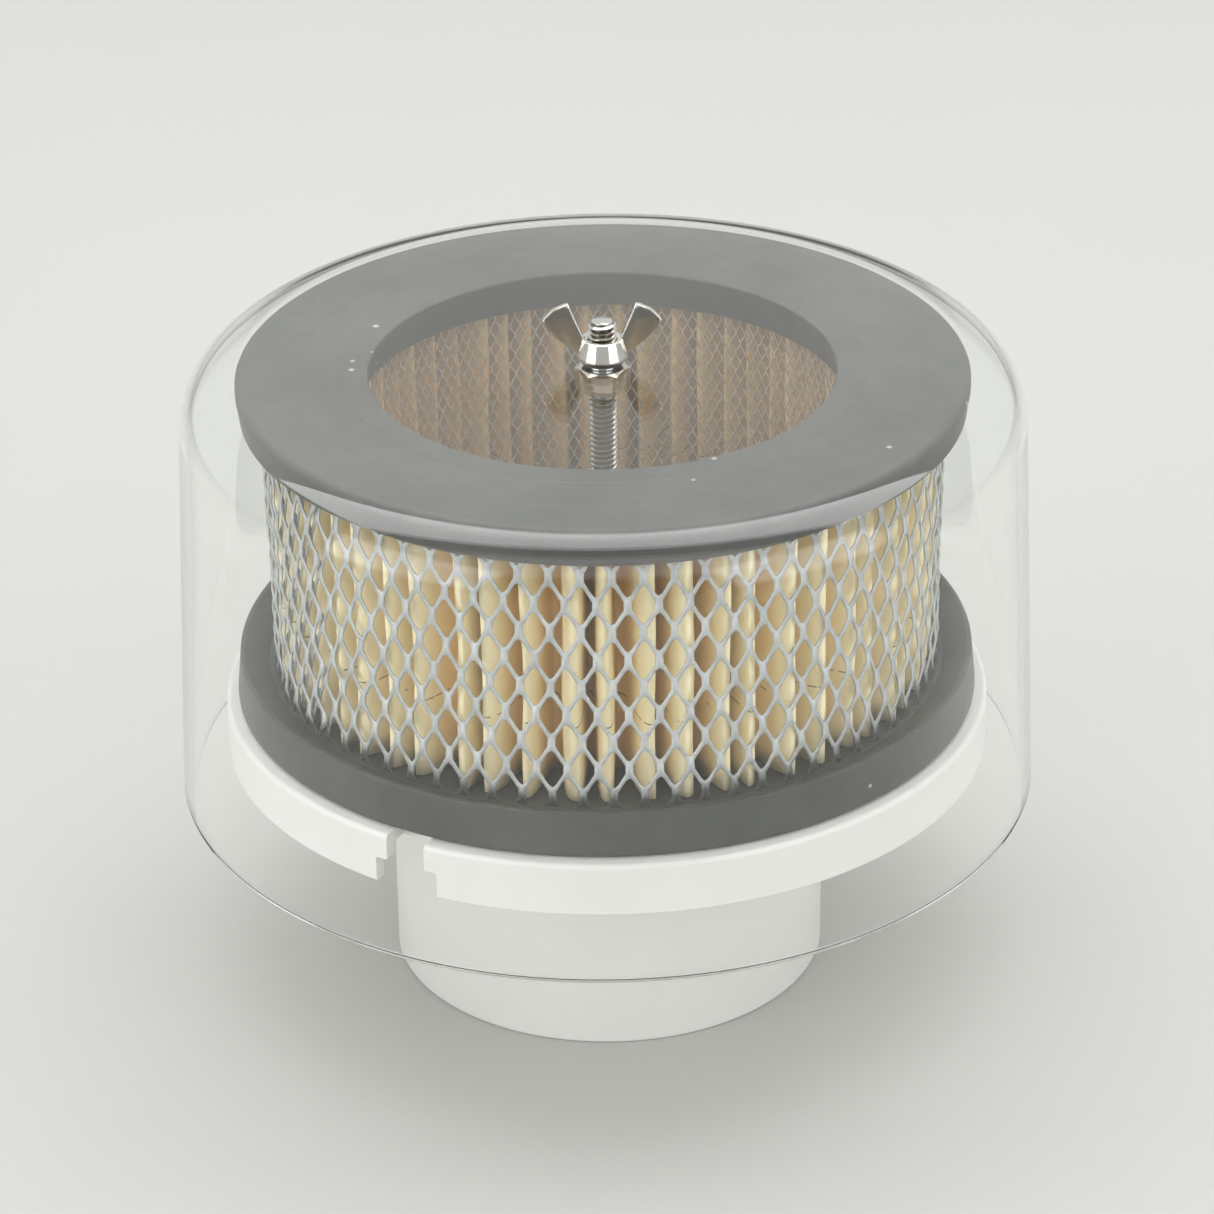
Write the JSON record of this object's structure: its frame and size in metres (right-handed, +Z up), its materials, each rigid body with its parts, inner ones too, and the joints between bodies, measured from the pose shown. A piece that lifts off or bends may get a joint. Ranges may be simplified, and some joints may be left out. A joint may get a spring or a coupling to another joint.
{
  "type": "air filter housing",
  "caption": "Round air filter housing with a clear bell cover over a pleated paper element on a white base with an intake neck, held by a central stud and wing nut.",
  "frame": {"origin": "on the axis at the lower end of the intake neck, the bottom centre of the box", "axes": "+Z up along the stud from the neck to the wing nut; the wing nut's wings lie along X; -Y faces the viewer"},
  "size_m": [0.2, 0.2, 0.1647],
  "materials": {
    "white_plastic": "smooth moulded, slightly satin",
    "zinc_steel": "bright zinc plate",
    "nickel_plate": "bright nickel plate",
    "grey_polyurethane": "matt moulded polyurethane",
    "screen_steel": "galvanised expanded metal",
    "filter_paper": "matt resin-treated paper",
    "clear_plastic": "clear and glossy",
    "seal_rubber": "matt"
  },
  "bodies": {
    "base": {"base_body": "white_plastic", "stud": "zinc_steel", "hub_washer_lower": "zinc_steel", "hub_nut_lower": "zinc_steel", "hub_washer_upper": "zinc_steel", "hub_nut_upper": "zinc_steel", "stop_nut": "zinc_steel"},
    "element": {"bottom_end_cap": "grey_polyurethane", "top_end_cap": "grey_polyurethane", "inner_screen": "screen_steel", "outer_screen": "screen_steel", "pleated_media": "filter_paper"},
    "cover": {"cover_shell": "clear_plastic"},
    "seal_washer": {"nut_seal_washer": "seal_rubber"},
    "wing_nut": {"wing_nut": "nickel_plate"}
  },
  "joints": [
    {"name": "element_lift", "type": "slide", "parent": "base", "child": "element", "axis": [0, 0, 1], "range_m": [0, 0.1]},
    {"name": "cover_lift", "type": "slide", "parent": "element", "child": "cover", "axis": [0, 0, 1], "range_m": [0, 0.11]},
    {"name": "wing_nut_turn", "type": "hinge", "parent": "cover", "child": "seal_washer", "pos_m": [0, 0, 0.1504], "axis": [0, 0, 1], "range_deg": [0, 2520]},
    {"name": "wing_nut_rise", "type": "slide", "parent": "seal_washer", "child": "wing_nut", "axis": [0, 0, 1], "range_m": [0, 0.009]}
  ],
  "couplings": [
    {"joint": "wing_nut_rise", "follows": "wing_nut_turn", "m_per_rad": 0.00020213}
  ]
}
